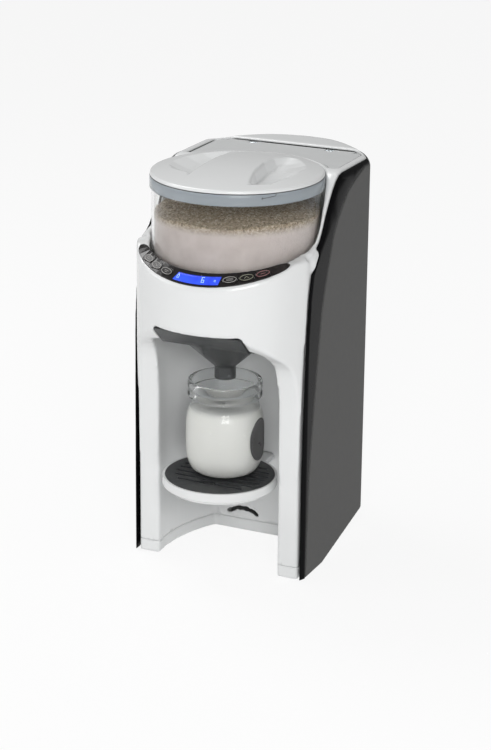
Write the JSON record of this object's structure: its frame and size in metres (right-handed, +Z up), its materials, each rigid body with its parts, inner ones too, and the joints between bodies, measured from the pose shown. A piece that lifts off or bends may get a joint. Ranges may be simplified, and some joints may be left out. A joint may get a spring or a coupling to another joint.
{
  "type": "baby formula maker",
  "caption": "Countertop machine with powder container, water tank, stirring drive, funnel, drip tray, bottle and ring control panel.",
  "frame": {"origin": "centre of the machine's footprint, on the surface it stands on", "axes": "+X to the right seen from the front, +Y towards the back, +Z up"},
  "size_m": [0.1768, 0.2582, 0.384],
  "materials": {
    "white_shell": "gloss moulded",
    "white_matte": "satin moulded",
    "grey_side": "satin moulded",
    "black_gloss": "gloss moulded",
    "black_overlay": "gloss printed film",
    "lcd_blue": "lit display",
    "key_dark": "satin",
    "silicone_dark": "matte",
    "board_green": "solder mask",
    "inner_grey": "moulded",
    "metal": "plain",
    "steel": "plated",
    "brass": "machined",
    "acetal": "natural",
    "rubber_black": "matte",
    "clear_jar": "clear moulded plastic",
    "clear_band": "tinted translucent plastic",
    "powder": "fine powder",
    "smoke": "tinted translucent plastic",
    "bottle_clear": "clear moulded plastic",
    "formula": "liquid",
    "tank_clear": "clear moulded plastic",
    "tube_clear": "silicone hose",
    "valve_orange": "silicone"
  },
  "bodies": {
    "machine": {"front_housing": "white_shell", "bay_liner": "white_shell", "base_plate": "white_matte", "rubber_feet": "rubber_black", "base_screws": "steel", "side_panel_left": "grey_side", "side_panel_right": "grey_side", "side_trim_left": "black_gloss", "side_trim_right": "black_gloss", "rear_cover": "grey_side", "control_bezel": "white_shell", "control_overlay": "black_overlay", "lcd_window": "lcd_blue", "key_membrane": "silicone_dark", "control_board": "board_green", "container_seat": "inner_grey", "gear_motor": "metal", "funnel_rail_left": "inner_grey", "funnel_rail_right": "inner_grey", "water_nozzle": "steel", "chassis": "inner_grey", "tank_seat": "inner_grey", "water_pump": "inner_grey", "water_heater": "metal", "water_tubing": "tube_clear", "power_board": "board_green", "power_inlet": "black_gloss"},
    "powder_container": {"container_jar": "clear_jar", "container_floor": "white_matte", "powder_fill": "powder"},
    "container_lid": {"container_lid": "white_shell", "lid_band": "clear_band", "lid_seal": "silicone_dark"},
    "stirring_wheel": {"stirring_wheel": "white_matte"},
    "drive_gear": {"drive_gear": "acetal"},
    "motor_pinion": {"motor_pinion": "brass"},
    "funnel": {"funnel": "smoke"},
    "drip_tray": {"tray_bowl": "white_shell", "tray_grille": "black_gloss"},
    "bottle": {"bottle": "bottle_clear", "bottle_formula": "formula"},
    "water_tank": {"water_tank": "tank_clear"},
    "tank_lid": {"tank_lid": "white_matte"},
    "tank_valve": {"tank_valve": "valve_orange"},
    "button_left_1": {"button_left_1": "key_dark"},
    "button_left_2": {"button_left_2": "key_dark"},
    "button_left_3": {"button_left_3": "key_dark"},
    "button_right_1": {"button_right_1": "key_dark"},
    "button_right_2": {"button_right_2": "key_dark"},
    "button_right_3": {"button_right_3": "key_dark"}
  },
  "joints": [
    {"name": "container_lift", "type": "slide", "parent": "machine", "child": "powder_container", "axis": [0, 0, 1], "range_m": [0, 0.16]},
    {"name": "lid_lift", "type": "slide", "parent": "powder_container", "child": "container_lid", "axis": [0, 0, 1], "range_m": [0, 0.06]},
    {"name": "drive_gear_spin", "type": "hinge", "parent": "machine", "child": "drive_gear", "pos_m": [0, -0.0345, 0.252], "axis": [0, 0, 1], "continuous": true},
    {"name": "stirrer_spin", "type": "hinge", "parent": "powder_container", "child": "stirring_wheel", "pos_m": [0, -0.0345, 0.27], "axis": [0, 0, 1], "continuous": true},
    {"name": "pinion_spin", "type": "hinge", "parent": "machine", "child": "motor_pinion", "pos_m": [-0.02438, -0.02043, 0.252], "axis": [0, 0, 1], "continuous": true},
    {"name": "funnel_slide", "type": "slide", "parent": "machine", "child": "funnel", "axis": [0, -1, 0], "range_m": [0, 0.125]},
    {"name": "tray_slide", "type": "slide", "parent": "machine", "child": "drip_tray", "axis": [0, -1, 0], "range_m": [0, 0.14]},
    {"name": "bottle_slide", "type": "slide", "parent": "drip_tray", "child": "bottle", "axis": [0, -1, 0], "range_m": [0, 0.1]},
    {"name": "tank_lift", "type": "slide", "parent": "machine", "child": "water_tank", "axis": [0, 0, 1], "range_m": [0, 0.2]},
    {"name": "tank_lid_hinge", "type": "hinge", "parent": "water_tank", "child": "tank_lid", "pos_m": [0, 0.0891, 0.3727], "axis": [-1, 0, 0], "range_deg": [0, 100]},
    {"name": "tank_valve_slide", "type": "slide", "parent": "water_tank", "child": "tank_valve", "axis": [0, 0, 1], "range_m": [-0.003, 0]},
    {"name": "button_left_1_press", "type": "slide", "parent": "machine", "child": "button_left_1", "axis": [0.1461, 0.6259, -0.7661], "range_m": [0, 0.0006], "stiffness_N_per_m": 800},
    {"name": "button_left_2_press", "type": "slide", "parent": "machine", "child": "button_left_2", "axis": [0.1759, 0.5552, -0.8129], "range_m": [0, 0.0006], "stiffness_N_per_m": 800},
    {"name": "button_left_3_press", "type": "slide", "parent": "machine", "child": "button_left_3", "axis": [0.1567, 0.4622, -0.8728], "range_m": [0, 0.0006], "stiffness_N_per_m": 800},
    {"name": "button_right_1_press", "type": "slide", "parent": "machine", "child": "button_right_1", "axis": [-0.1461, 0.6259, -0.7661], "range_m": [0, 0.0006], "stiffness_N_per_m": 800},
    {"name": "button_right_2_press", "type": "slide", "parent": "machine", "child": "button_right_2", "axis": [-0.1759, 0.5552, -0.8129], "range_m": [0, 0.0006], "stiffness_N_per_m": 800},
    {"name": "button_right_3_press", "type": "slide", "parent": "machine", "child": "button_right_3", "axis": [-0.1567, 0.4622, -0.8728], "range_m": [0, 0.0006], "stiffness_N_per_m": 800}
  ],
  "couplings": [
    {"joint": "stirrer_spin", "follows": "drive_gear_spin", "ratio": 1},
    {"joint": "pinion_spin", "follows": "drive_gear_spin", "ratio": -2.5},
    {"joint": "tank_valve_slide", "follows": "tank_lift", "ratio": -0.015}
  ]
}
